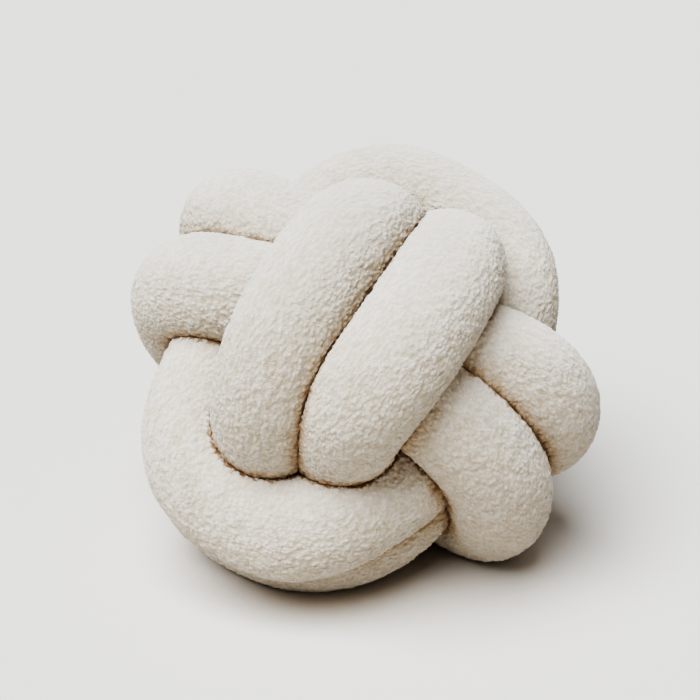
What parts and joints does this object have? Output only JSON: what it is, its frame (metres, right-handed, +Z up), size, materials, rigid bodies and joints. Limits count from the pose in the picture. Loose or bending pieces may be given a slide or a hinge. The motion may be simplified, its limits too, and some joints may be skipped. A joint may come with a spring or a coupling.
{
  "type": "knot cushion",
  "caption": "Round knot cushion: a fat stuffed tube of looped ivory cloth tied into a tight ball knot, its ends tucked into the core.",
  "frame": {"origin": "middle of the cushion's base: the centre of its outer box in X and Y, on the surface it rests on", "axes": "+Z up from the surface it rests on, -Y to the front where the leaning front pair of turns shows, +X to the right as seen from the front"},
  "size_m": [0.2934, 0.289, 0.2621],
  "materials": {
    "boucle": "matt ivory looped pile with small tight curls"
  },
  "bodies": {
    "root": {"knot_cushion": "boucle"}
  },
  "joints": []
}
